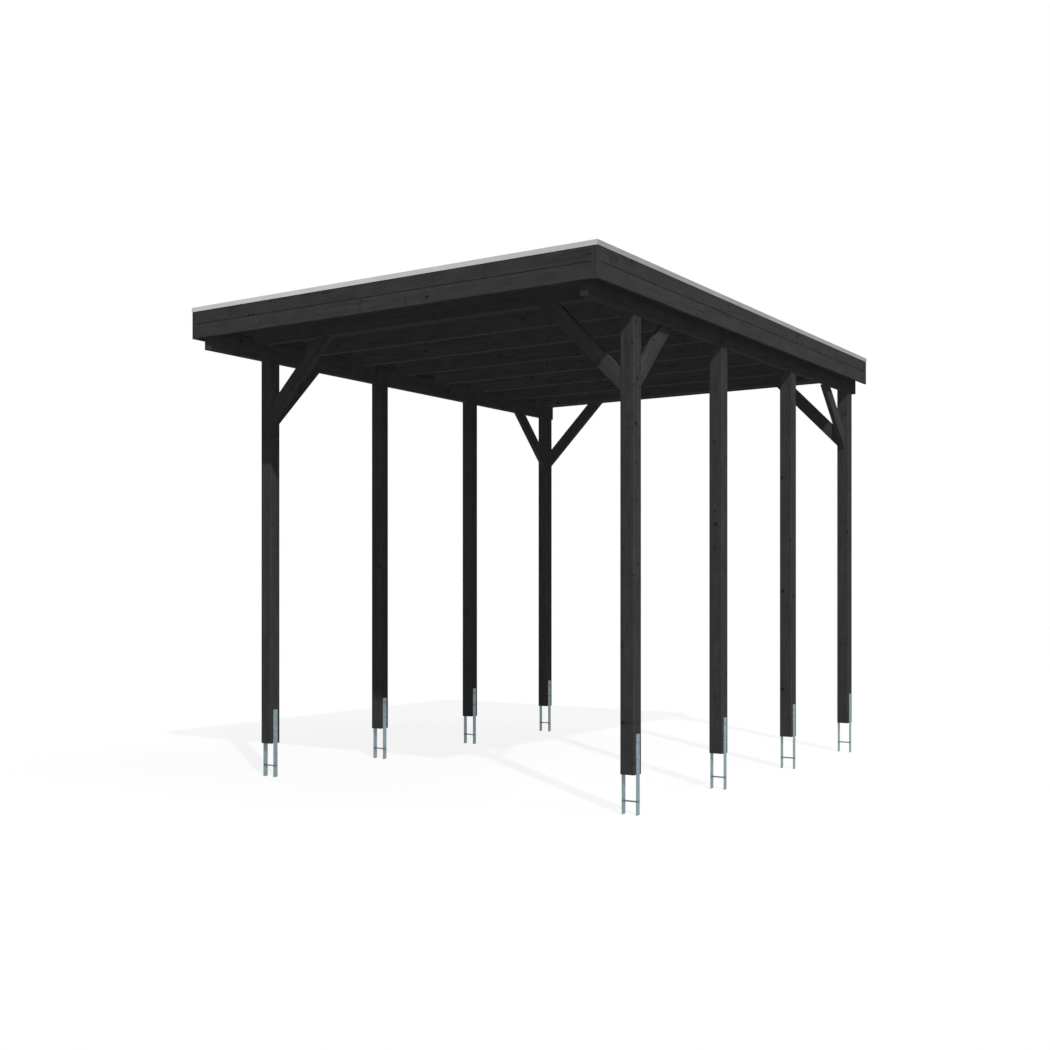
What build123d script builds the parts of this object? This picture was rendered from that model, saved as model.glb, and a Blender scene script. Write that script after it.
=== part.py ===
from build123d import *
import os

# Tall timber carport with a flat roof, in millimetres.
# The origin lies under the middle of the roof, level with the feet of the post anchors.
# +Z is up, -Y is the drive-in end and +X is the right side seen from there.

# Roof outline, measured over the metal edge trim
roof_width = 3970.0
roof_length = 5550.0
front_overhang = 717.0
back_overhang = 135.0
side_overhang = 108.0

# Posts, four along each side
post_size = 115.0
post_count = 4
post_chamfer = 4.0
clear_height = 3393.0
tongue_height = 95.0

# Steel anchors, set half their length into the footing
anchor_length = 600.0
anchor_grip = 300.0
bar_width = 50.0
bar_thickness = 5.0
crossbar_diameter = 12.0
crossbar_height = 100.0
bolt_hole = 11.0
bolt_top_margin = 50.0
bolt_spacing = 128.0

# Beams that carry the roof
purlin_thickness = 60.0
purlin_height = 145.0
purlin_front_setback = 48.0
rafter_thickness = 45.0
rafter_height = 145.0
rafter_count = 8
beam_chamfer = 3.0

# Diagonal braces at the four corner posts
brace_depth = 120.0
cross_brace_thickness = 45.0
cross_brace_reach = 709.0
side_brace_thickness = 45.0
side_brace_reach = 580.0
brace_chamfer = 2.0

# Roof deck of tongued boards under a rubber sheet
deck_thickness = 19.0
deck_board_cover = 121.0
deck_groove = 3.0
sheet_thickness = 2.0

# Fascia boards and the corner pieces between them
fascia_thickness = 18.0
fascia_drop = 48.0
fascia_board_height = 120.0
fascia_chamfer = 3.0
corner_width = 45.0
kerb_height = 51.0

# Metal trim along the roof edge
trim_thickness = 2.0
trim_height = 37.5
trim_flange = 45.0
trim_gap = 1.0

# Heights worked out from the ground up
post_foot = anchor_length - anchor_grip
purlin_bottom = post_foot + clear_height
rafter_bottom = purlin_bottom + purlin_height
deck_bottom = rafter_bottom + rafter_height
deck_top = deck_bottom + deck_thickness
kerb_top = deck_top + kerb_height
fascia_bottom = rafter_bottom - fascia_drop
fascia_joint = fascia_bottom + fascia_board_height
roof_top = kerb_top + trim_thickness

# Distances worked out from the roof's outline inward
fascia_x = roof_width / 2 - trim_thickness - trim_gap
fascia_y = roof_length / 2 - trim_thickness - trim_gap
frame_x = fascia_x - fascia_thickness
frame_y = fascia_y - fascia_thickness
post_outer_x = roof_width / 2 - side_overhang
post_inner_x = post_outer_x - post_size
tongue_x = post_outer_x - purlin_thickness
first_post_y = -roof_length / 2 + front_overhang
last_post_y = roof_length / 2 - back_overhang - post_size
post_pitch = (last_post_y - first_post_y) / (post_count - 1)
last_rafter_y = last_post_y + post_size - rafter_thickness
rafter_pitch = (last_rafter_y - first_post_y) / (rafter_count - 1)
purlin_front_y = -roof_length / 2 + purlin_front_setback

sides = {"left": -1, "right": 1}
os.makedirs("parts", exist_ok=True)


def save(piece, name):
    """Label a finished piece and write it as its own STEP file."""
    piece.label = name
    export_step(piece, f"parts/{name}.step")


def span(first, second):
    """Middle and length of the stretch between two coordinates."""
    return (first + second) / 2, abs(second - first)


def make_post(name, side, front_y):
    """Square post with its outer half cut away at the top, as a seat for the purlin."""
    middle_x, _ = span(side * post_inner_x, side * post_outer_x)
    seat_x, seat_width = span(side * tongue_x, side * post_outer_x)
    middle_y = front_y + post_size / 2
    with BuildPart() as post:
        with BuildSketch(Plane.XY.offset(post_foot)):
            with Locations((middle_x, middle_y)):
                Rectangle(post_size, post_size)
        extrude(amount=clear_height + tongue_height)
        chamfer(post.edges().filter_by(Axis.Z), length=post_chamfer)
        with BuildSketch(Plane.XY.offset(purlin_bottom)):
            with Locations((seat_x, middle_y)):
                Rectangle(seat_width, post_size)
        extrude(amount=tongue_height, mode=Mode.SUBTRACT)
        with BuildSketch(Plane.YZ.offset(middle_x)):
            with Locations(*bolt_places(middle_y)):
                Circle(bolt_hole / 2)
        extrude(amount=post_size / 2, both=True, mode=Mode.SUBTRACT)
    save(post.part, name)


def bolt_places(middle_y):
    """Two bolts above one another on the anchor's bars, in the YZ plane."""
    upper = anchor_length - bolt_top_margin
    return [(middle_y, upper), (middle_y, upper - bolt_spacing)]


def make_anchor(name, side, front_y):
    """H-shaped anchor: two flat bars on the post's faces, joined by a round bar below it."""
    middle_x, _ = span(side * post_inner_x, side * post_outer_x)
    middle_y = front_y + post_size / 2
    bar_offset = (post_size + bar_thickness) / 2
    with BuildPart() as anchor:
        with BuildSketch():
            with Locations((middle_x - bar_offset, middle_y), (middle_x + bar_offset, middle_y)):
                Rectangle(bar_thickness, bar_width)
        extrude(amount=anchor_length)
        with BuildSketch(Plane.YZ.offset(middle_x)):
            with Locations((middle_y, crossbar_height)):
                Circle(crossbar_diameter / 2)
        extrude(amount=bar_offset, both=True)
        with BuildSketch(Plane.YZ.offset(middle_x)):
            with Locations(*bolt_places(middle_y)):
                Circle(bolt_hole / 2)
        extrude(amount=bar_offset + bar_thickness, both=True, mode=Mode.SUBTRACT)
    save(anchor.part, name)


def make_purlin(name, side):
    """Long beam in the seats of one row of posts, flush with their outer faces."""
    middle_x, width = span(side * tongue_x, side * post_outer_x)
    with BuildPart() as purlin:
        with BuildSketch(Plane.XZ.offset(-frame_y)):
            with Locations((middle_x, purlin_bottom + purlin_height / 2)):
                Rectangle(width, purlin_height)
        extrude(amount=frame_y - purlin_front_y)
        chamfer(purlin.edges().filter_by(Axis.Y), length=beam_chamfer)
    save(purlin.part, name)


def make_rafter(name, front_y):
    """Joist on edge across both purlins, as long as the frame is wide."""
    with BuildPart() as rafter:
        with BuildSketch(Plane.YZ.offset(-frame_x)):
            with Locations((front_y + rafter_thickness / 2, rafter_bottom + rafter_height / 2)):
                Rectangle(rafter_thickness, rafter_height)
        extrude(amount=2 * frame_x)
        underside = rafter.faces().sort_by(Axis.Z)[0]
        chamfer(underside.edges().filter_by(Axis.X), length=beam_chamfer)
    save(rafter.part, name)


def brace_corners(seat, beam, reach, way):
    """Forty-five degree strut from a post's face at seat up to the underside of a beam."""
    cut = brace_depth * 2 ** 0.5
    return [
        (seat, beam - reach),
        (seat + way * reach, beam),
        (seat + way * (reach - cut), beam),
        (seat, beam - reach + cut),
    ]


def runs_diagonally(edge):
    """True for the long edges of a brace, between its two cut ends."""
    return 0.1 < abs(edge.tangent_at(0).Z) < 0.9


def make_cross_brace(name, side, front_y):
    """Brace across the width, from a corner post's inner face up to the rafter above it."""
    with BuildPart() as brace:
        with BuildSketch(Plane.XZ.offset(-front_y - cross_brace_thickness)):
            with BuildLine():
                outline = brace_corners(side * post_inner_x, rafter_bottom, cross_brace_reach, -side)
                Polyline(*outline, close=True)
            make_face()
        extrude(amount=cross_brace_thickness)
        chamfer(brace.edges().filter_by(runs_diagonally), length=brace_chamfer)
    save(brace.part, name)


def make_side_brace(name, side, post_face_y, way):
    """Brace along the side, from a corner post up to the purlin, in line with the post."""
    middle_x, _ = span(side * post_inner_x, side * post_outer_x)
    with BuildPart() as brace:
        with BuildSketch(Plane.YZ.offset(middle_x - side_brace_thickness / 2)):
            with BuildLine():
                Polyline(*brace_corners(post_face_y, purlin_bottom, side_brace_reach, way), close=True)
            make_face()
        extrude(amount=side_brace_thickness)
        chamfer(brace.edges().filter_by(runs_diagonally), length=brace_chamfer)
    save(brace.part, name)


def make_deck():
    """Boarded deck over all the rafters, with a small groove at each joint below."""
    boards = int(2 * frame_x / deck_board_cover)
    with BuildPart() as deck:
        with BuildSketch(Plane.XY.offset(deck_bottom)):
            Rectangle(2 * frame_x, 2 * frame_y)
        extrude(amount=deck_thickness)
        with BuildSketch(Plane.XZ.offset(-frame_y)):
            with Locations((0, deck_bottom)):
                with GridLocations(deck_board_cover, 1, boards, 1):
                    RegularPolygon(deck_groove, 4, rotation=45)
        extrude(amount=2 * frame_y, mode=Mode.SUBTRACT)
    save(deck.part, "roof_deck")


def make_sheet():
    """Rubber sheet over the deck, up to the fascia boards that form its kerb."""
    with BuildPart() as sheet:
        with BuildSketch(Plane.XY.offset(deck_top)):
            Rectangle(2 * frame_x, 2 * frame_y)
        extrude(amount=sheet_thickness)
    save(sheet.part, "roof_membrane")


def make_side_fascia(name, side, bottom, top):
    """Fascia board along one side, from the front corner piece to the back end."""
    middle_y, length = span(-fascia_y + corner_width, fascia_y)
    start_x = min(side * frame_x, side * fascia_x)
    with BuildPart() as board:
        with BuildSketch(Plane.YZ.offset(start_x)):
            with Locations((middle_y, (bottom + top) / 2)):
                Rectangle(length, top - bottom)
        extrude(amount=fascia_thickness)
        outer_face = board.faces().sort_by(Axis.X)[-1 if side > 0 else 0]
        chamfer(outer_face.edges().filter_by(Axis.Y), length=fascia_chamfer)
    save(board.part, name)


def make_end_fascia(name, end, half_length, bottom, top):
    """Fascia board across the front (end -1) or the back (end +1)."""
    with BuildPart() as board:
        with BuildSketch(Plane.XZ.offset(-max(end * frame_y, end * fascia_y))):
            with Locations((0, (bottom + top) / 2)):
                Rectangle(2 * half_length, top - bottom)
        extrude(amount=fascia_thickness)
        outer_face = board.faces().sort_by(Axis.Y)[-1 if end > 0 else 0]
        chamfer(outer_face.edges().filter_by(Axis.X), length=fascia_chamfer)
    save(board.part, name)


def make_corner(name, side):
    """Angled corner piece that closes the fascia boards at one front corner."""
    outer_x = side * fascia_x
    with BuildPart() as corner:
        with BuildSketch(Plane.XY.offset(fascia_bottom)):
            with BuildLine():
                Polyline(
                    (outer_x, -fascia_y),
                    (outer_x, -fascia_y + corner_width),
                    (outer_x - side * fascia_thickness, -fascia_y + corner_width),
                    (outer_x - side * fascia_thickness, -frame_y),
                    (outer_x - side * corner_width, -frame_y),
                    (outer_x - side * corner_width, -fascia_y),
                    close=True,
                )
            make_face()
        extrude(amount=kerb_top - fascia_bottom)
        upright = corner.edges().filter_by(Axis.Z)
        nose = upright.sort_by_distance((outer_x, -fascia_y, fascia_bottom))[0]
        chamfer(nose, length=fascia_chamfer)
    save(corner.part, name)


def trim_corners(edge, way):
    """Angle section hooked over a fascia board, its outer face at edge."""
    return [
        (edge, roof_top),
        (edge, roof_top - trim_height),
        (edge - way * trim_thickness, roof_top - trim_height),
        (edge - way * trim_thickness, kerb_top),
        (edge - way * trim_flange, kerb_top),
        (edge - way * trim_flange, roof_top),
    ]


def make_side_trim(name, side):
    """Roof edge trim along one side, mitred at both corners."""
    half = roof_length / 2
    with BuildPart() as trim:
        with BuildSketch(Plane.XZ.offset(-half)):
            with BuildLine():
                Polyline(*trim_corners(side * roof_width / 2, side), close=True)
            make_face()
        extrude(amount=roof_length)
        for end in (-1, 1):
            corner = (side * roof_width / 2, end * half, 0)
            split(bisect_by=Plane(origin=corner, z_dir=(side, -end, 0)), keep=Keep.TOP)
    save(trim.part, name)


def make_end_trim(name, end):
    """Roof edge trim across the front (end -1) or the back (end +1), mitred at both corners."""
    half = roof_width / 2
    with BuildPart() as trim:
        with BuildSketch(Plane.YZ.offset(-half)):
            with BuildLine():
                Polyline(*trim_corners(end * roof_length / 2, end), close=True)
            make_face()
        extrude(amount=roof_width)
        for side in (-1, 1):
            corner = (side * half, end * roof_length / 2, 0)
            split(bisect_by=Plane(origin=corner, z_dir=(-side, end, 0)), keep=Keep.TOP)
    save(trim.part, name)


for side_name, side in sides.items():
    for number in range(post_count):
        post_y = first_post_y + number * post_pitch
        make_post(f"post_{side_name}_{number + 1}", side, post_y)
        make_anchor(f"anchor_{side_name}_{number + 1}", side, post_y)
    make_purlin(f"purlin_{side_name}", side)
    make_cross_brace(f"cross_brace_front_{side_name}", side, first_post_y)
    make_cross_brace(f"cross_brace_back_{side_name}", side, last_rafter_y)
    make_side_brace(f"side_brace_front_{side_name}", side, first_post_y + post_size, 1)
    make_side_brace(f"side_brace_back_{side_name}", side, last_post_y, -1)
    make_side_fascia(f"fascia_{side_name}_lower", side, fascia_bottom, fascia_joint)
    make_side_fascia(f"fascia_{side_name}_upper", side, fascia_joint, kerb_top)
    make_corner(f"corner_front_{side_name}", side)
    make_side_trim(f"trim_{side_name}", side)

for number in range(rafter_count):
    make_rafter(f"rafter_{number + 1}", first_post_y + number * rafter_pitch)
make_rafter("rim_joist_front", -frame_y)
make_rafter("rim_joist_back", frame_y - rafter_thickness)

make_deck()
make_sheet()

make_end_fascia("fascia_front_lower", -1, fascia_x - corner_width, fascia_bottom, fascia_joint)
make_end_fascia("fascia_front_upper", -1, fascia_x - corner_width, fascia_joint, kerb_top)
make_end_fascia("fascia_back_upper", 1, frame_x, fascia_joint, kerb_top)
make_end_trim("trim_front", -1)
make_end_trim("trim_back", 1)
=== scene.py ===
import math
import random

import bmesh
import bpy
from mathutils import Matrix, Vector, noise


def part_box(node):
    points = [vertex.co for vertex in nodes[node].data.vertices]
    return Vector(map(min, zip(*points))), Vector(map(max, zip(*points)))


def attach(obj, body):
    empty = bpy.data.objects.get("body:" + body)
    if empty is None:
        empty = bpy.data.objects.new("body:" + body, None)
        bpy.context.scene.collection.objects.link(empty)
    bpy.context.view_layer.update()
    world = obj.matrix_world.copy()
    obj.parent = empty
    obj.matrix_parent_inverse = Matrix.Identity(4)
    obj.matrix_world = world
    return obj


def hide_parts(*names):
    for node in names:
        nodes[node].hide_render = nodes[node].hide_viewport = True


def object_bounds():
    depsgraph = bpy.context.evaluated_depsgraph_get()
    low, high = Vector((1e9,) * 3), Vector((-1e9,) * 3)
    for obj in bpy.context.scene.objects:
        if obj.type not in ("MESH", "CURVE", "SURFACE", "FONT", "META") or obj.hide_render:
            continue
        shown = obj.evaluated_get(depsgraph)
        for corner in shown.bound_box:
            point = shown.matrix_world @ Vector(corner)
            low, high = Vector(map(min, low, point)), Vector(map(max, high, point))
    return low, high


# Finish and small hardware of a stained timber carport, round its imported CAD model.
# Metres throughout: +Z is up, -Y is the drive-in end and +X is the right side seen from there.

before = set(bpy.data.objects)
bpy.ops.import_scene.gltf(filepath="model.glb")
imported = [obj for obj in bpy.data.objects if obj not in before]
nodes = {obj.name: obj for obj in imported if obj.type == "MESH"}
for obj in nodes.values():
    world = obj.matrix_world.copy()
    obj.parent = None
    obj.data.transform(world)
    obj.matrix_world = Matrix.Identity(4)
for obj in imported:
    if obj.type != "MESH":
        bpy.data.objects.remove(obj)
cad_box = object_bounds()

# Sizes that the details share with the CAD model
SIDES = {"left": -1, "right": 1}
POST_COUNT = 4
RAFTER_COUNT = 8
BOLT_TOP_MARGIN = 0.050
BOLT_SPACING = 0.128
BAR_THICKNESS = 0.005
CROSSBAR_HEIGHT = 0.100
CROSSBAR_RADIUS = 0.006
BRACE_DEPTH = 0.120
BRACE_THICKNESS = 0.045
DECK_BOARD = 0.121

# Stained spruce
STAIN = (0.0340, 0.0340, 0.0338, 1.0)
WORN_STAIN = (0.0360, 0.0354, 0.0346, 1.0)
RING_PITCH = 0.0046
RING_SHARPNESS = 2.4
RING_DRIFT = 0.075
KNOT_SPACING = 0.090
KNOT_RADII = (0.0010, 0.0165)
WHORL_SPACING = 0.360
WHORL_WOBBLE = 0.070
SEED_REACH = 40.0
TONE_SPREAD = 0.03
BOARD_TONE_SPREAD = 0.10
EDGE_TONE = 0.08
# Painted shade: the fascia boards are darkened along their long edges, standing in for the shade
# in the grooves between the boards.
FASCIA_GROOVE_SHADE = -0.55
NO_JOINT = 99.0
BRACE_HALF_LENGTH = 10.0
BRACE_TURN = math.pi / 4

# Each kind of timber: the axis it runs along, how far off its pith lies, and its tone; the
# rafters' and rim joists' higher tone is painted light, which lifts them in the shade under the
# roof.
TIMBERS = {
    "post": ("z", 0.035, 0.965),
    "purlin": ("y", 0.06, 1.0),
    # Painted light: the raised tone lifts the rafters and rim joists in the shade under the roof.
    "rafter": ("x", 0.07, 1.08),
    "rim_joist": ("x", 0.07, 1.08),
    "corner": ("z", 0.06, 0.96),
}
FASCIA_PITH = 0.09
BRACE_PITH = 0.05
DECK_PITH = 0.05
# Tones of single timbers. The fascia boards' differ as boards do; the purlins' are painted light:
# the left purlin, whose inner face lies in the shade under the roof, is made lighter and the
# right one darker.
TONES_AND_PAINTED_LIGHT = {
    "purlin_left": 1.10,
    "purlin_right": 0.94,
    "fascia_front_lower": 1.12,
    "fascia_right_upper": 0.97,
}

# Metals and rubber
ZINC_COLOUR = (0.192, 0.259, 0.283)
SPANGLE_SIZE = 1.0 / 150.0
TRIM_COLOUR = (0.284, 0.284, 0.281)
RUBBER_CLEAN = (0.0150, 0.0155, 0.0160, 1.0)
RUBBER_DUSTY = (0.0205, 0.0203, 0.0196, 1.0)
RUBBER_CREASED = (0.0270, 0.0267, 0.0258, 1.0)
CREASE_PITCHES = (0.93, 1.10)
CREASE_PHASE = 20.31
SCREW_BLACK = (0.018, 0.018, 0.018, 1.0)
SCREW_RUBBED = (0.045, 0.044, 0.042, 1.0)

# Bolts, nuts and screws; a washer is its radius and thickness
BOLT_WASHER = (0.0100, 0.0018)
BOLT_FLATS = 0.0160
BOLT_HEAD = 0.0062
NUT_HEIGHT = 0.0080
THREAD_RADIUS = 0.0048
THREAD_LENGTH = 0.0048
THREAD_CHAMFER = 0.0008
COACH_WASHER = (0.0125, 0.0020)
COACH_FLATS = 0.0130
COACH_HEAD = 0.0065
COACH_PLACES = ((-0.026, 0.028), (0.026, 0.066))
WELD_RADIUS = 0.0034
WELD_STEPS = 5
SCREW_RADIUS = 0.0042
SCREW_PROUD = 0.0006
SCREW_DEPTH = 0.0030
SOCKET_DEPTH = 0.0012
SCREW_POINTS = 12
SCREW_END_MARGIN = 0.03
LOWER_ROWS = (0.22, 0.78)
UPPER_ROWS = (0.18, 0.62)
END_COLUMNS = 8

# Roofing rubber as it lies; its fold is pairs of distance from the boards and height
SHEET_CELL = 0.045
SHEET_THICKNESS = 0.0014
SHEET_LIFT = 0.0022
SHEET_FROM_BOARDS = 0.0022
SHEET_BELOW_KERB = 0.004
SHEET_FOLD = ((0.0028, 0.016), (0.0050, 0.0070), (0.0110, 0.0034), (0.0300, 0.0024))
WAVE_HEIGHT = 0.0030
RIPPLE_HEIGHT = 0.0032
CALM_EDGE = 0.02
CALM_FADE = 0.12

# Floor, light and camera
FLOOR_REACH = 60.0
FLOOR_PALE = 0.90
FLOOR_GLOW_SHARE = 0.88
FLOOR_LIGHT = 0.03
AMBIENT = 0.07
SUN_STRENGTH = 3.35
SUN_FROM = (0.871, -0.705, 1.0)
SIDE_STRENGTH = 1.05
SIDE_FROM = (0.5, 0.0, 0.866)
SOFT_STRENGTH = 2.7
SOFT_FROM = (0.70, -0.68, -0.16)
FILL_RADIANCE = 2.5
FILL_FROM = (-0.62, -0.75, 0.23)
FILL_SIZE = (9.0, 5.0)
FILL_DISTANCE = 12.0
CAMERA_PLACE = (6.485, -10.577, 1.647)
CAMERA_TURN = (math.pi / 2, 0.0, 0.5854)
CAMERA_SENSOR = 36.0
CAMERA_LENS = 45.168
CAMERA_SHIFT = (0.00904, 0.06342)
CAMERA_REACH = 200.0


# Small helpers for shader trees

class Tree:
    """Adds and joins shader nodes in one node tree."""

    def __init__(self, tree):
        self.tree = tree

    def add(self, kind, **settings):
        node = self.tree.nodes.new(kind)
        for key, value in settings.items():
            setattr(node, key, value)
        return node

    def feed(self, socket, value):
        """Links a socket to another one, or sets it to a plain value."""
        if isinstance(value, bpy.types.NodeSocket):
            self.tree.links.new(value, socket)
        else:
            socket.default_value = value

    def math(self, operation, *values):
        node = self.add("ShaderNodeMath", operation=operation)
        for socket, value in zip(node.inputs, values):
            self.feed(socket, value)
        return node.outputs[0]

    def vector(self, operation, *values, scale=None):
        node = self.add("ShaderNodeVectorMath", operation=operation)
        for socket, value in zip(node.inputs, values):
            self.feed(socket, value)
        if scale is not None:
            self.feed(node.inputs["Scale"], scale)
        return node.outputs["Value" if operation == "LENGTH" else "Vector"]

    def noise(self, where, scale, detail=3.0, roughness=0.55, output="Fac"):
        """Soft noise; a scale of three numbers is one for each axis."""
        if isinstance(scale, tuple):
            where, scale = self.vector("MULTIPLY", where, scale), 1.0
        node = self.add("ShaderNodeTexNoise", noise_dimensions="3D")
        self.feed(node.inputs["Vector"], where)
        self.feed(node.inputs["Scale"], scale)
        self.feed(node.inputs["Detail"], detail)
        self.feed(node.inputs["Roughness"], roughness)
        return node.outputs[output]

    def cells(self, where, spacing, dimensions="3D"):
        """Cells round random points: distance to the point, in spacings, and a random number."""
        node = self.add("ShaderNodeTexVoronoi", feature="F1", voronoi_dimensions=dimensions)
        self.feed(node.inputs["W" if dimensions == "1D" else "Vector"], where)
        self.feed(node.inputs["Scale"], 1.0 / spacing)
        return node.outputs["Distance"], self.split(node.outputs["Color"])[0]

    def ramp(self, value, low, high, to_low=0.0, to_high=1.0):
        """Smooth step of value from low to high, mapped to the range to_low..to_high."""
        node = self.add("ShaderNodeMapRange", interpolation_type="SMOOTHSTEP")
        for name, put in (("Value", value), ("From Min", low), ("From Max", high),
                          ("To Min", to_low), ("To Max", to_high)):
            self.feed(node.inputs[name], put)
        return node.outputs["Result"]

    def shade(self, light, *marks):
        """Light times 1 + share x amount for each (amount, share): a share below 0 darkens."""
        for amount, share in marks:
            light = self.math("MULTIPLY", light, self.math("MULTIPLY_ADD", amount, share, 1.0))
        return light

    def mix(self, factor, first, second):
        node = self.add("ShaderNodeMix", data_type="RGBA", blend_type="MIX")
        self.feed(node.inputs["Factor"], factor)
        self.feed(node.inputs["A"], first)
        self.feed(node.inputs["B"], second)
        return node.outputs["Result"]

    def split(self, where):
        node = self.add("ShaderNodeSeparateXYZ")
        self.feed(node.inputs[0], where)
        return node.outputs["X"], node.outputs["Y"], node.outputs["Z"]

    def join(self, x, y, z):
        node = self.add("ShaderNodeCombineXYZ")
        for socket, value in zip(node.inputs, (x, y, z)):
            self.feed(socket, value)
        return node.outputs[0]

    def bump(self, height, strength, distance):
        node = self.add("ShaderNodeBump")
        self.feed(node.inputs["Height"], height)
        node.inputs["Strength"].default_value = strength
        node.inputs["Distance"].default_value = distance
        return node.outputs["Normal"]

    def shown(self):
        """One where the camera, gloss or glass shows the surface, nought where it only lights."""
        path = self.add("ShaderNodeLightPath").outputs
        seen = self.math("MAXIMUM", path["Is Camera Ray"], path["Is Glossy Ray"])
        return self.math("MAXIMUM", seen, path["Is Transmission Ray"])

    def emission(self, strength):
        node = self.add("ShaderNodeEmission")
        node.inputs["Strength"].default_value = strength
        return node.outputs[0]

    def blend(self, factor, first, second):
        """Two shaders in one."""
        node = self.add("ShaderNodeMixShader")
        for socket, value in zip(node.inputs, (factor, first, second)):
            self.feed(socket, value)
        return node.outputs[0]


def new_material(name):
    """Empty material with its output and one principled shader, ready to wire."""
    material = bpy.data.materials.new(name)
    material.use_nodes = True
    tree = Tree(material.node_tree)
    material.node_tree.nodes.clear()
    shader = tree.add("ShaderNodeBsdfPrincipled")
    output = tree.add("ShaderNodeOutputMaterial")
    tree.feed(output.inputs["Surface"], shader.outputs[0])
    where = tree.add("ShaderNodeTexCoord").outputs["Object"]
    return material, tree, shader, where


def give(piece, material):
    """Sets one material on every slot of a piece."""
    if not piece.data.materials:
        piece.data.materials.append(material)
    for slot in piece.material_slots:
        slot.material = material


# Stained spruce, shared by every timber

def whorl_marks(tree, shifted, cloud):
    """Faint marks across the length, where the tree grew its branches in whorls."""
    wobble = tree.math("MULTIPLY_ADD", cloud, WHORL_WOBBLE, -WHORL_WOBBLE / 2)
    along = tree.math("ADD", tree.split(shifted)[2], wobble)
    distance, luck = tree.cells(along, WHORL_SPACING, "1D")
    distance = tree.math("MULTIPLY", distance, WHORL_SPACING)
    patch = tree.ramp(tree.noise(shifted, (14.0, 14.0, 4.0), 2.0), 0.44, 0.62)
    strength = tree.math("MULTIPLY", patch, tree.ramp(luck, 0.15, 0.95))
    mark = tree.math("MULTIPLY", strength, tree.ramp(distance, 0.0, 0.024, 1.0, 0.0))
    pale = tree.math("MULTIPLY", strength, tree.ramp(distance, 0.010, 0.070, 1.0, 0.0))
    return distance, mark, pale


def knot_marks(tree, shifted, from_whorl):
    """Small balls of dark wood that the faces cut through, larger near a whorl."""
    distance, luck = tree.cells(shifted, KNOT_SPACING)
    distance = tree.math("MULTIPLY", distance, KNOT_SPACING)
    radius = tree.ramp(luck, 0.56, 0.98, *KNOT_RADII)
    radius = tree.math("MULTIPLY", radius, tree.ramp(from_whorl, 0.040, 0.120, 1.0, 0.55))
    distance = tree.math("DIVIDE", distance, radius)
    return tree.ramp(distance, 0.65, 1.20, 1.0, 0.0), tree.ramp(distance, 1.0, 2.6, 1.0, 0.0)


def growth_rings(tree, local, shifted, pith, halo):
    """Rings round the pith that bend with the trunk and flow round the knots."""
    drift = tree.noise(shifted, (2.2, 2.2, 0.55), 2.0, 0.5, "Color")
    drift = tree.vector("SUBTRACT", drift, (0.5, 0.5, 0.5))
    drift = tree.vector("SCALE", drift, scale=RING_DRIFT)
    bent = tree.vector("ADD", tree.vector("SUBTRACT", local, pith), drift)
    flat = tree.vector("MULTIPLY", bent, (1.0, 1.0, 0.0))
    radius = tree.math("ADD", tree.vector("LENGTH", flat), tree.math("MULTIPLY", halo, 0.004))
    turn = tree.math("MULTIPLY", radius, 2 * math.pi / RING_PITCH)
    wave = tree.math("MULTIPLY_ADD", tree.math("SINE", turn), 0.5, 0.5)
    return tree.math("POWER", wave, RING_SHARPNESS)


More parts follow.
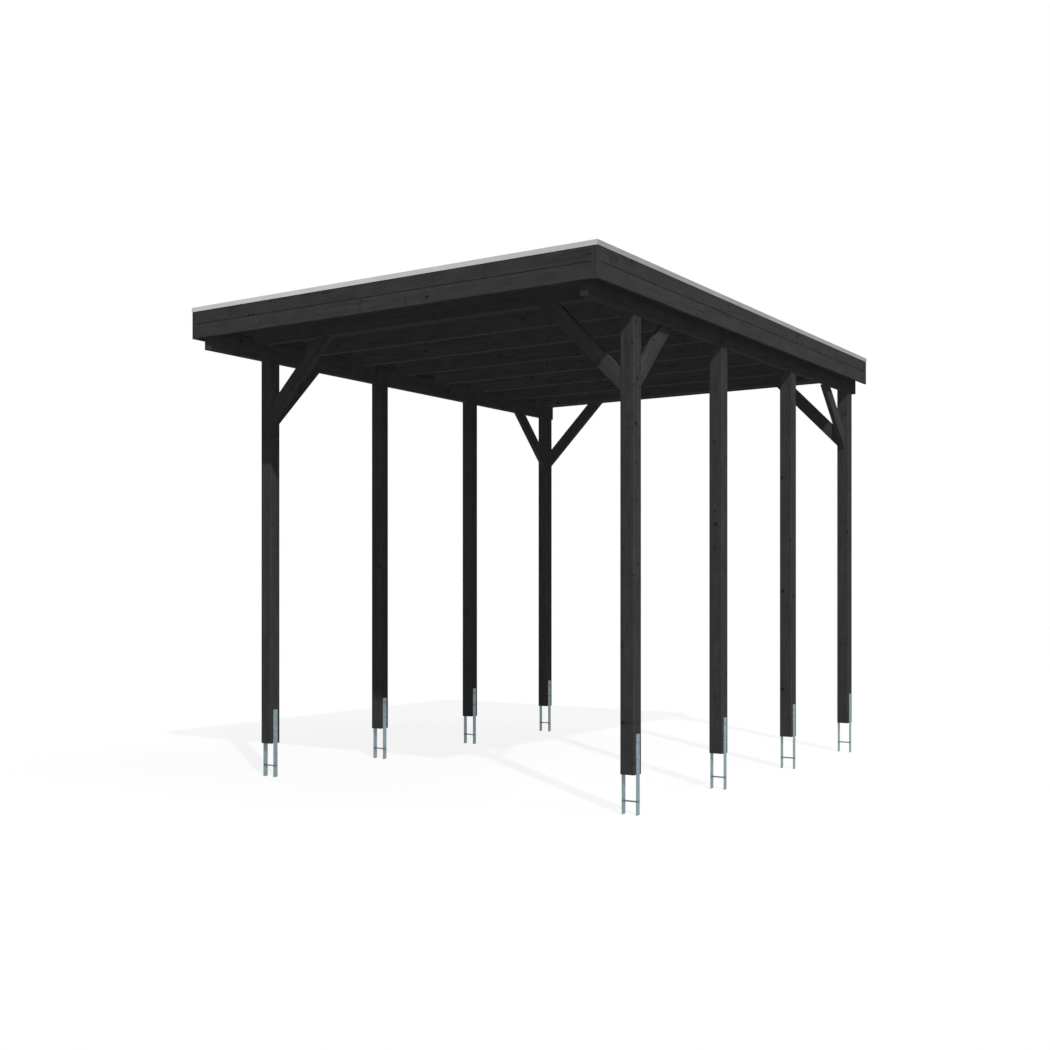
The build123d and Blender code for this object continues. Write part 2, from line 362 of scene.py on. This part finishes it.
def spruce_group():
    """Grain, knots, worn edges and dark end grain of a timber that runs along its local z; on the
    fascia boards the long edges carry painted shade for the grooves between them instead of wear.
    """
    group = bpy.data.node_groups.new("stained_spruce", "ShaderNodeTree")
    vectors = ("Local", "Half", "Pith", "Seed")
    for name in vectors:
        group.interface.new_socket(name, in_out="INPUT", socket_type="NodeSocketVector")
    for name in ("Edge", "Tone", "Joint"):
        group.interface.new_socket(name, in_out="INPUT", socket_type="NodeSocketFloat")
    for name, kind in (("Color", "NodeSocketColor"), ("Roughness", "NodeSocketFloat"),
                       ("Normal", "NodeSocketVector")):
        group.interface.new_socket(name, in_out="OUTPUT", socket_type=kind)
    tree = Tree(group)
    source = tree.add("NodeGroupInput").outputs
    result = tree.add("NodeGroupOutput").inputs
    local, half, pith, seed = (source[name] for name in vectors)
    shifted = tree.vector("ADD", local, seed)

    cloud = tree.noise(shifted, (16.0, 16.0, 5.0), 4.0, 0.6)
    from_whorl, mark, pale = whorl_marks(tree, shifted, cloud)
    knot, halo = knot_marks(tree, shifted, from_whorl)
    rings = growth_rings(tree, local, shifted, pith, halo)
    fibre = tree.noise(shifted, (420.0, 420.0, 9.0), 3.0, 0.6)
    streak = tree.noise(shifted, (46.0, 46.0, 1.1), 4.0, 0.6)
    check = tree.ramp(tree.noise(shifted, (60.0, 60.0, 1.6), 1.0, 0.4), 0.735, 0.765)

    # How near the long edges, the cut ends and the butt joint are
    room = tree.vector("SUBTRACT", half, tree.vector("ABSOLUTE", local))
    room_x, room_y, room_z = tree.split(room)
    rim = tree.ramp(tree.math("MAXIMUM", room_x, room_y), 0.0015, 0.0045, 1.0, 0.0)
    worn = tree.math("MULTIPLY", rim, tree.ramp(streak, 0.35, 0.7))
    cut_end = tree.ramp(room_z, 0.0002, 0.0030, 1.0, 0.0)
    from_joint = tree.math("SUBTRACT", tree.split(local)[2], source["Joint"])
    joint = tree.ramp(tree.math("ABSOLUTE", from_joint), 0.0020, 0.0065, 1.0, 0.0)

    light = tree.math("MULTIPLY", source["Tone"], tree.math("MULTIPLY_ADD", rings, -0.16, 1.06))
    light = tree.shade(light, (pale, 0.07), (mark, -0.26))
    for value, low, high, spread in ((fibre, 0.25, 0.75, 0.07), (streak, 0.25, 0.75, 0.09),
                                     (cloud, 0.30, 0.70, 0.10)):
        mottle = tree.ramp(value, low, high, 1.0 - spread, 1.0 + spread)
        light = tree.math("MULTIPLY", light, mottle)
    # rim changes the long edges by Edge: lighter as wear on most timbers, painted shade on the
    # fascia boards.
    light = tree.shade(light, (rim, source["Edge"]), (halo, -0.16), (knot, -0.60),
                       (check, -0.50), (cut_end, -0.08), (joint, -0.80))
    tint = tree.mix(worn, STAIN, WORN_STAIN)
    tree.feed(result["Color"], tree.vector("SCALE", tint, scale=light))

    rough = tree.math("MULTIPLY_ADD", streak, 0.16, 0.70)
    tree.feed(result["Roughness"], tree.math("MULTIPLY_ADD", knot, -0.16, rough))
    height = tree.math("MULTIPLY_ADD", rings, 0.5, tree.math("MULTIPLY", fibre, 0.6))
    for hollow, depth in ((check, 1.6), (knot, 0.5), (joint, 2.0)):
        height = tree.math("SUBTRACT", height, tree.math("MULTIPLY", hollow, depth))
    tree.feed(result["Normal"], tree.bump(height, 0.45, 0.0007))
    return group


SPRUCE = spruce_group()


def draw_cut(number, pith_offset):
    """Where a timber's pith lies and where its grain starts, the same in every run."""
    random.seed(number)
    pith = (random.uniform(-1, 1) * pith_offset, random.uniform(0.6, 1.0) * pith_offset, 0.0)
    seed = tuple(random.uniform(-SEED_REACH, SEED_REACH) for _ in range(3))
    return pith, seed


def timber_material(name, centre, half, turn, cut, edge_tone=EDGE_TONE, tone=1.0, board=None,
                    joint=NO_JOINT):
    """Stained spruce for one timber, in coordinates centred on it with z along its length.

    cut is its pith and seed, board is the width of each board in a panel of several, and joint
    is where two lengths meet.
    """
    material, tree, shader, where = new_material(name)
    pith, seed = cut
    turned = tree.add("ShaderNodeMapping", vector_type="POINT")
    tree.feed(turned.inputs["Vector"], tree.vector("SUBTRACT", where, centre))
    turned.inputs["Rotation"].default_value = turn
    place = turned.outputs[0]
    if board:
        x, y, z = tree.split(place)
        count = tree.math("FLOOR", tree.math("MULTIPLY_ADD", x, 1.0 / board, 0.5))
        own = tree.add("ShaderNodeTexWhiteNoise", noise_dimensions="1D")
        tree.feed(own.inputs["W"], count)
        place = tree.join(tree.math("MULTIPLY_ADD", count, -board, x), y, z)
        seed = tree.vector("MULTIPLY_ADD", own.outputs["Color"], (SEED_REACH,) * 3, seed)
        tone = tree.ramp(own.outputs["Value"], 0.0, 1.0,
                         (1 - BOARD_TONE_SPREAD) * tone, (1 + BOARD_TONE_SPREAD) * tone)
    grain = tree.add("ShaderNodeGroup", node_tree=SPRUCE)
    for socket, value in (("Local", place), ("Half", half), ("Pith", pith), ("Seed", seed),
                          ("Edge", edge_tone), ("Tone", tone), ("Joint", joint)):
        tree.feed(grain.inputs[socket], value)
    tree.feed(shader.inputs["Base Color"], grain.outputs["Color"])
    tree.feed(shader.inputs["Roughness"], grain.outputs["Roughness"])
    tree.feed(shader.inputs["Normal"], grain.outputs["Normal"])
    shader.inputs["Specular IOR Level"].default_value = 0.002
    return material


def dress_timber(name, along, pith_offset, number, tone, edge_tone=EDGE_TONE, board=None,
                 joint_at=None):
    """Gives a CAD timber its own cut of spruce."""
    low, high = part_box(name)
    centre = (low + high) / 2
    order = {"x": (2, 1, 0), "y": (0, 2, 1), "z": (0, 1, 2)}[along]
    half = tuple((high - low)[i] / 2 for i in order)
    if board:
        half = (board / 2, half[1], half[2])
    turn = {"x": (0.0, -math.pi / 2, 0.0), "y": (math.pi / 2, 0.0, 0.0), "z": (0.0,) * 3}[along]
    cut = draw_cut(number, pith_offset)
    tone *= random.uniform(1 - TONE_SPREAD, 1 + TONE_SPREAD)
    joint = NO_JOINT if joint_at is None else joint_at - centre.y
    give(nodes[name], timber_material(f"spruce_{name}", centre, half, turn, cut, edge_tone, tone,
                                      board, joint))


def dress_brace(name, axis, turn, number):
    """The same for a brace, whose length runs at forty-five degrees about the given axis."""
    low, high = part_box(name)
    turns = {"x": (turn, 0.0, 0.0), "y": (0.0, turn, 0.0)}[axis]
    width, depth = BRACE_DEPTH / 2, BRACE_THICKNESS / 2
    half = {"x": (depth, width, BRACE_HALF_LENGTH), "y": (width, depth, BRACE_HALF_LENGTH)}[axis]
    cut = draw_cut(number, BRACE_PITH)
    give(nodes[name], timber_material(f"spruce_{name}", (low + high) / 2, half, turns, cut))


# Metals and rubber

def galvanised_material():
    """Dull zinc coat with faint crystals and drip marks, darker at the crossbar's welds."""
    material, tree, shader, where = new_material("zinc_coat")
    spangle = tree.cells(where, SPANGLE_SIZE)[1]
    cloud = tree.noise(where, 22.0, 4.0)
    drip = tree.noise(where, (90.0, 90.0, 7.0))
    from_weld = tree.math("SUBTRACT", tree.split(where)[2], CROSSBAR_HEIGHT)
    from_weld = tree.math("ABSOLUTE", from_weld)
    light = tree.ramp(spangle, 0.0, 1.0, 0.90, 1.10)
    for value, low, high, to_low, to_high in ((cloud, 0.3, 0.7, 0.88, 1.10),
                                              (drip, 0.35, 0.75, 1.04, 0.90),
                                              (from_weld, 0.006, 0.013, 0.55, 1.0)):
        light = tree.math("MULTIPLY", light, tree.ramp(value, low, high, to_low, to_high))
    tree.feed(shader.inputs["Base Color"], tree.vector("SCALE", ZINC_COLOUR, scale=light))
    shader.inputs["Metallic"].default_value = 0.55
    tree.feed(shader.inputs["Roughness"], tree.ramp(cloud, 0.25, 0.75, 0.42, 0.60))
    tree.feed(shader.inputs["Normal"], tree.bump(tree.math("ADD", cloud, spangle), 0.25, 0.0004))
    return material


def trim_material():
    """Mill-finish aluminium, brushed along its length; faces that point up are painted darker and
    made rougher, which damps the sun's glint on them.
    """
    material, tree, shader, where = new_material("trim_aluminium")
    smear = tree.noise(where, (3.0, 3.0, 160.0))
    cloud = tree.noise(where, 4.0, 4.0)
    facing_up = tree.split(tree.add("ShaderNodeNewGeometry").outputs["True Normal"])[2]
    # Painted shade: this mask darkens the up-facing faces and raises their roughness, to damp the
    # sun's glint there.
    dust = tree.ramp(facing_up, 0.6, 0.9)
    light = tree.math("MULTIPLY", tree.ramp(smear, 0.3, 0.7, 0.96, 1.04),
                      tree.ramp(cloud, 0.3, 0.7, 0.95, 1.05))
    # Painted shade on the up-facing faces, which lowers their glint.
    light = tree.shade(light, (dust, -0.30))
    tree.feed(shader.inputs["Base Color"], tree.vector("SCALE", TRIM_COLOUR, scale=light))
    shader.inputs["Metallic"].default_value = 1.0
    polish = tree.ramp(cloud, 0.25, 0.75, 0.46, 0.58)
    tree.feed(shader.inputs["Roughness"], tree.math("MULTIPLY_ADD", dust, 0.34, polish))
    tree.feed(shader.inputs["Normal"], tree.bump(smear, 0.15, 0.0003))
    return material


def rubber_material():
    """Black roofing rubber with a little dust, faint fold lines and a fine calendered grain."""
    material, tree, shader, where = new_material("roofing_rubber")
    dust = tree.noise(where, 1.3, 7.0, 0.65)
    speck = tree.noise(where, 260.0, 2.0)
    creases = []
    for along, pitch in zip(tree.split(where), CREASE_PITCHES):
        phase = tree.math("FRACT", tree.math("MULTIPLY_ADD", along, 1.0 / pitch, CREASE_PHASE))
        from_fold = tree.math("ABSOLUTE", tree.math("SUBTRACT", phase, 0.5))
        creases.append(tree.ramp(from_fold, 0.0, 0.012, 1.0, 0.0))
    crease = tree.math("MULTIPLY", tree.math("MAXIMUM", *creases), tree.ramp(dust, 0.3, 0.6))
    factor = tree.math("MULTIPLY", tree.ramp(dust, 0.38, 0.78),
                       tree.ramp(speck, 0.35, 0.65, 0.7, 1.0))
    tone = tree.mix(factor, RUBBER_CLEAN, RUBBER_DUSTY)
    tree.feed(shader.inputs["Base Color"], tree.mix(crease, tone, RUBBER_CREASED))
    tree.feed(shader.inputs["Roughness"], tree.ramp(dust, 0.3, 0.7, 0.70, 0.76))
    height = tree.math("MULTIPLY_ADD", crease, 2.0, tree.math("MULTIPLY", speck, 0.3))
    tree.feed(shader.inputs["Normal"], tree.bump(height, 0.35, 0.0006))
    shader.inputs["Specular IOR Level"].default_value = 0.08
    return material


def black_steel_material():
    """Black coated screws and bolts, rubbed a little in places."""
    material, tree, shader, where = new_material("black_screw_steel")
    rub = tree.noise(where, 400.0)
    colour = tree.mix(tree.ramp(rub, 0.55, 0.75), SCREW_BLACK, SCREW_RUBBED)
    tree.feed(shader.inputs["Base Color"], colour)
    shader.inputs["Specular IOR Level"].default_value = 0.10
    tree.feed(shader.inputs["Roughness"], tree.ramp(rub, 0.3, 0.7, 0.42, 0.62))
    tree.feed(shader.inputs["Normal"], tree.bump(rub, 0.2, 0.0002))
    return material


ZINC = galvanised_material()
ALUMINIUM = trim_material()
RUBBER = rubber_material()
BLACK_STEEL = black_steel_material()


# Every CAD node gets its finish

def dress_frame():
    """Walks through the CAD nodes in order, so that each timber has its own grain."""
    for number, name in enumerate(sorted(nodes)):
        if name.startswith("fascia"):
            along = "y" if "left" in name or "right" in name else "x"
            tone = TONES_AND_PAINTED_LIGHT.get(name, 1.0)
            # The fascia's edge tone is painted shade in the grooves between its boards.
            dress_timber(name, along, FASCIA_PITH, number, tone, FASCIA_GROOVE_SHADE)
        elif name.startswith("cross_brace"):
            turn = BRACE_TURN if name.endswith("right") else -BRACE_TURN
            dress_brace(name, "y", turn, number)
        elif name.startswith("side_brace"):
            turn = BRACE_TURN if "front" in name else -BRACE_TURN
            dress_brace(name, "x", turn, number)
        elif name.startswith("anchor"):
            give(nodes[name], ZINC)
        elif name.startswith("trim"):
            give(nodes[name], ALUMINIUM)
        elif name == "roof_membrane":
            give(nodes[name], RUBBER)
        elif name == "roof_deck":
            dress_timber(name, "y", DECK_PITH, len(nodes), 1.0, board=DECK_BOARD)
        else:
            kind = next(kind for kind in TIMBERS if name.startswith(kind))
            along, pith_offset, tone = TIMBERS[kind]
            joint_at = None
            if kind == "purlin":
                joint_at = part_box(name.replace("purlin", "post") + "_2")[0].y
            dress_timber(name, along, pith_offset, number, TONES_AND_PAINTED_LIGHT.get(name, tone),
                         joint_at=joint_at)


# Mesh helpers for small hardware

def add_object(name, data):
    """Puts a mesh, lamp or camera into the scene."""
    item = bpy.data.objects.new(name, data)
    bpy.context.scene.collection.objects.link(item)
    return item


def finish_piece(builder, name, material):
    """Turns a bmesh into a named piece that rides on the frame."""
    mesh = bpy.data.meshes.new(name)
    bmesh.ops.recalc_face_normals(builder, faces=builder.faces)
    builder.to_mesh(mesh)
    builder.free()
    piece = add_object(name, mesh)
    mesh.materials.append(material)
    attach(piece, "root")
    return piece


def facing(point, direction):
    """Placement with its origin at point and its local z along direction."""
    turn = Vector(direction).to_track_quat("Z", "Y").to_matrix().to_4x4()
    return Matrix.Translation(point) @ turn


def raised(place, height):
    """The same placement, moved along its local z."""
    return place @ Matrix.Translation((0, 0, height))


def ring(builder, place, radii, height, steps):
    """Corners round the local z axis of place, whose radii take turns."""
    corners = []
    for k in range(steps):
        angle = 2 * math.pi * k / steps
        radius = radii[k % len(radii)]
        point = Vector((radius * math.cos(angle), radius * math.sin(angle), height))
        corners.append(builder.verts.new(place @ point))
    return corners


def bridge(builder, lower, upper, steps):
    """Faces between two rings, either of which may be a single point."""
    for k in range(steps):
        n = (k + 1) % steps
        corners = [lower[k % len(lower)], lower[n % len(lower)],
                   upper[n % len(upper)], upper[k % len(upper)]]
        builder.faces.new(list(dict.fromkeys(corners)))


def lathe(builder, place, profile, steps):
    """Turns (radius, height) pairs round the local z axis; ends on the axis close to a point."""
    rings = [ring(builder, place, (radius,), height, steps if radius else 1)
             for radius, height in profile]
    for lower, upper in zip(rings, rings[1:]):
        bridge(builder, lower, upper, steps)


def washer(builder, place, radius, thickness):
    """Round washer with softened rims, lying on the surface."""
    soft = thickness * 0.25
    lathe(builder, place, [(0, 0), (radius, 0), (radius, thickness - soft),
                           (radius - soft, thickness), (0, thickness)], 28)


def hexagon_head(builder, place, washer_size, flats, height):
    """Six-sided head or nut on its washer, with its corners turned off at the top."""
    washer(builder, place, *washer_size)
    corner = flats / 3 ** 0.5
    lathe(builder, raised(place, washer_size[1]),
          [(0, 0), (corner, 0), (corner, height * 0.82), (corner * 0.86, height), (0, height)], 6)


def flush_screw(builder, place, radius):
    """Countersunk screw head, a hair proud of the wood, with a star-shaped socket."""
    outer, rim, star, floor, base = (
        ring(builder, place, [radius * share for share in shares], height, SCREW_POINTS)
        for shares, height in (((1.0,), 0.0), ((0.93,), SCREW_PROUD),
                               ((0.34, 0.50), SCREW_PROUD), ((0.34, 0.50), -SOCKET_DEPTH),
                               ((0.5,), -SCREW_DEPTH)))
    for first, second in ((outer, rim), (rim, star), (star, floor), (base, outer)):
        bridge(builder, first, second, SCREW_POINTS)
    builder.faces.new(floor)
    builder.faces.new(base)


# Hardware on the posts and boards

def anchor_bolts(side_name, side, number):
    """Two bolts through an anchor and its post: heads outside, nuts and thread ends inside."""
    low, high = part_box(f"anchor_{side_name}_{number}")
    outer = high.x if side > 0 else low.x
    inner = low.x if side > 0 else high.x
    middle_y = (low.y + high.y) / 2
    upper = high.z - BOLT_TOP_MARGIN
    thread = [(0, 0), (THREAD_RADIUS, 0), (THREAD_RADIUS, THREAD_LENGTH - THREAD_CHAMFER),
              (THREAD_RADIUS - THREAD_CHAMFER, THREAD_LENGTH), (0, THREAD_LENGTH)]
    builder = bmesh.new()
    for level in (upper, upper - BOLT_SPACING):
        head = facing((outer, middle_y, level), (side, 0, 0))
        hexagon_head(builder, head, BOLT_WASHER, BOLT_FLATS, BOLT_HEAD)
        back = facing((inner, middle_y, level), (-side, 0, 0))
        hexagon_head(builder, back, BOLT_WASHER, BOLT_FLATS, NUT_HEIGHT)
        lathe(builder, raised(back, BOLT_WASHER[1] + NUT_HEIGHT), thread, 16)
    finish_piece(builder, f"anchor_bolts_{side_name}_{number}", ZINC)


def weld_beads(side_name, number):
    """Rounded weld seams where an anchor's crossbar meets its two bars."""
    low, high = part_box(f"anchor_{side_name}_{number}")
    middle_y = (low.y + high.y) / 2
    angles = [math.pi / 2 * k / WELD_STEPS for k in range(WELD_STEPS + 1)]
    bead = [(CROSSBAR_RADIUS + WELD_RADIUS * math.cos(a), WELD_RADIUS * math.sin(a))
            for a in angles]
    builder = bmesh.new()
    for x, way in ((low.x + BAR_THICKNESS, 1), (high.x - BAR_THICKNESS, -1)):
        place = facing((x, middle_y, CROSSBAR_HEIGHT), (way, 0, 0))
        lathe(builder, place, [(0, 0)] + bead + [(0, WELD_RADIUS)], 24)
    finish_piece(builder, f"anchor_welds_{side_name}_{number}", ZINC)


def purlin_screws(side_name, side, number):
    """Two coach screws through a post's head into the purlin, set on the slant."""
    low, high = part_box(f"post_{side_name}_{number}")
    inner = low.x if side > 0 else high.x
    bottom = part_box(f"purlin_{side_name}")[0].z
    middle_y = (low.y + high.y) / 2
    builder = bmesh.new()
    for offset, level in COACH_PLACES:
        place = facing((inner, middle_y + offset, bottom + level), (-side, 0, 0))
        hexagon_head(builder, place, COACH_WASHER, COACH_FLATS, COACH_HEAD)
    name = f"purlin_screws_{side_name}_{number}"
    finish_piece(builder, name, BLACK_STEEL)


def fascia_screws(name, face_axis, way, rows, columns):
    """Screws in rows, at shares of the board's height, and columns along a fascia board."""
    low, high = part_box(name)
    outward = [0.0, 0.0, 0.0]
    outward[face_axis] = way
    point = Vector((0.0, 0.0, 0.0))
    point[face_axis] = high[face_axis] if way > 0 else low[face_axis]
    builder = bmesh.new()
    for along in columns:
        for share in rows:
            point[1 - face_axis] = along
            point.z = low.z + share * (high.z - low.z)
            flush_screw(builder, facing(point, outward), SCREW_RADIUS)
    finish_piece(builder, f"screws_{name}", BLACK_STEEL)


def all_fascia_screws():
    """Screws at every beam end along the sides, and evenly across the front and the back."""
    beams = [f"rafter_{k + 1}" for k in range(RAFTER_COUNT)] + ["rim_joist_back"]
    ends = [(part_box(beam)[0].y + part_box(beam)[1].y) / 2 for beam in beams]
    for side_name, side in SIDES.items():
        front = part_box(f"fascia_{side_name}_lower")[0].y + SCREW_END_MARGIN
        fascia_screws(f"fascia_{side_name}_lower", 0, side, LOWER_ROWS, [front] + ends)
        fascia_screws(f"fascia_{side_name}_upper", 0, side, UPPER_ROWS, [front] + ends)
    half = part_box("fascia_front_lower")[1].x - SCREW_END_MARGIN
    places = [half * (2 * k / (END_COLUMNS - 1) - 1) for k in range(END_COLUMNS)]
    fascia_screws("fascia_front_lower", 1, -1, LOWER_ROWS, places)
    fascia_screws("fascia_front_upper", 1, -1, UPPER_ROWS, places)
    fascia_screws("fascia_back_upper", 1, 1, UPPER_ROWS, places)


# Roof

def sheet_line(length, rise):
    """Distances across the sheet, each with how far the sheet lies above the deck there."""
    border = [(SHEET_FROM_BOARDS, rise)] + list(SHEET_FOLD)
    edge = border[-1][0]
    inner = length - 2 * edge
    count = round(inner / SHEET_CELL)
    middle = [(edge + inner * k / count, SHEET_LIFT) for k in range(1, count)]
    return border + middle + [(length - distance, lift) for distance, lift in reversed(border)]


def sheet_waves(x, y, room):
    """Low waves of the loose sheet, which die out towards its edges."""
    wave = 0.5 + 0.5 * noise.noise(Vector((x * 2.1, y * 0.55, 3.7)))
    ripple = max(0.0, noise.noise(Vector((x * 0.9 + 8.0, y * 5.5, 1.3))))
    loose = min(1.0, max(0.0, (room - CALM_EDGE) / CALM_FADE))
    return loose * (WAVE_HEIGHT * wave ** 3 + RIPPLE_HEIGHT * ripple ** 2)


def roof_sheet():
    """Loose-laid rubber sheet with slight waves, a rounded fold and an upstand at the boards."""
    low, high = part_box("roof_membrane")
    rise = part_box("fascia_front_upper")[1].z - low.z - SHEET_BELOW_KERB
    width, length = high.x - low.x, high.y - low.y
    builder = bmesh.new()
    grid = []
    for across, lift_x in sheet_line(width, rise):
        column = []
        for along, lift_y in sheet_line(length, rise):
            point = Vector((low.x + across, low.y + along, 0.0))
            room = min(across, along, width - across, length - along)
            point.z = low.z + max(lift_x, lift_y) + sheet_waves(point.x, point.y, room)
            column.append(builder.verts.new(point))
        grid.append(column)
    for first, second in zip(grid, grid[1:]):
        for k in range(len(first) - 1):
            builder.faces.new((first[k], second[k], second[k + 1], first[k + 1]))
    sheet = finish_piece(builder, "roof_sheet", RUBBER)
    for face in sheet.data.polygons:
        face.use_smooth = True
    skin = sheet.modifiers.new("thickness", "SOLIDIFY")
    skin.thickness = SHEET_THICKNESS
    skin.offset = -1.0
    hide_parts("roof_membrane")


# Floor, light and camera

def make_floor():
    """Pale floor that looks white and keeps a light shadow of the object."""
    reach = FLOOR_REACH
    corners = [(-reach, -reach, 0), (reach, -reach, 0), (reach, reach, 0), (-reach, reach, 0)]
    mesh = bpy.data.meshes.new("floor")
    mesh.from_pydata(corners, [], [(0, 1, 2, 3)])
    material = bpy.data.materials.new("floor_white")
    material.use_nodes = True
    material.node_tree.nodes.clear()
    tree = Tree(material.node_tree)
    pale = tree.add("ShaderNodeBsdfDiffuse")
    pale.inputs["Color"].default_value = (FLOOR_PALE, FLOOR_PALE, FLOOR_PALE, 1.0)
    white = tree.blend(FLOOR_GLOW_SHARE, pale.outputs[0], tree.emission(1.0))
    surface = tree.blend(tree.shown(), tree.emission(FLOOR_LIGHT), white)
    output = tree.add("ShaderNodeOutputMaterial")
    tree.feed(output.inputs["Surface"], surface)
    mesh.materials.append(material)
    floor = add_object("floor", mesh)


def make_world():
    """Even pale surroundings: white where they are seen, far weaker as light on the object."""
    world = bpy.data.worlds.new("studio")
    bpy.context.scene.world = world
    world.use_nodes = True
    world.node_tree.nodes.clear()
    tree = Tree(world.node_tree)
    background = tree.add("ShaderNodeBackground")
    background.inputs["Color"].default_value = (1.0, 1.0, 1.0, 1.0)
    strength = tree.ramp(tree.shown(), 0.0, 1.0, AMBIENT, 1.0)
    tree.feed(background.inputs["Strength"], strength)
    output = tree.add("ShaderNodeOutputWorld")
    tree.feed(output.inputs["Surface"], background.outputs[0])


def make_sun(name, strength, towards, width):
    """Far lamp that shines from the given direction; width is its angle in degrees."""
    data = bpy.data.lights.new(name, "SUN")
    data.energy = strength
    data.angle = math.radians(width)
    sun = add_object(name, data)
    sun.rotation_euler = Vector(towards).to_track_quat("Z", "Y").to_euler()
    return data


def make_suns():
    """Key light from the front right as in the photograph, with a softer one high on the right.

    Two more without shadow or shine come from the front right and the back left, a little below
    level, and light the shade under the roof evenly.
    """
    make_sun("key_light", SUN_STRENGTH, SUN_FROM, 1.2)
    make_sun("side_light", SIDE_STRENGTH, SIDE_FROM, 25.0)
    x, y, z = SOFT_FROM
    for name, towards in (("soft_light_front", (x, y, z)), ("soft_light_back", (-x, -y, z))):
        soft = make_sun(name, SOFT_STRENGTH, towards, 60.0)
        soft.use_shadow = False
        soft.specular_factor = 0.0


def make_fill():
    """Large panel at the front left that shows only in gloss, and brightens the front trim."""
    data = bpy.data.lights.new("fill_light", "AREA")
    data.shape = "RECTANGLE"
    data.size, data.size_y = FILL_SIZE
    data.energy = FILL_RADIANCE * math.pi * data.size * data.size_y
    fill = add_object("fill_light", data)
    towards = Vector(FILL_FROM).normalized()
    roof_edge = Vector((0.0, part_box("trim_front")[0].y, cad_box[1][2]))
    fill.location = roof_edge + towards * FILL_DISTANCE
    fill.rotation_euler = towards.to_track_quat("Z", "Y").to_euler()
    fill.visible_diffuse = False


def make_camera():
    """The photograph's viewpoint: a level camera with a small shift."""
    data = bpy.data.cameras.new("camera")
    data.sensor_width = CAMERA_SENSOR
    data.lens = CAMERA_LENS
    data.shift_x, data.shift_y = CAMERA_SHIFT
    data.clip_end = CAMERA_REACH
    camera = add_object("camera", data)
    camera.location = CAMERA_PLACE
    camera.rotation_euler = CAMERA_TURN
    bpy.context.scene.camera = camera


dress_frame()
roof_sheet()
for side_name, side in SIDES.items():
    for number in range(1, POST_COUNT + 1):
        anchor_bolts(side_name, side, number)
        weld_beads(side_name, number)
        purlin_screws(side_name, side, number)
all_fascia_screws()

make_floor()
make_world()
make_suns()
make_fill()
make_camera()
bpy.context.scene.view_settings.view_transform = "Standard"
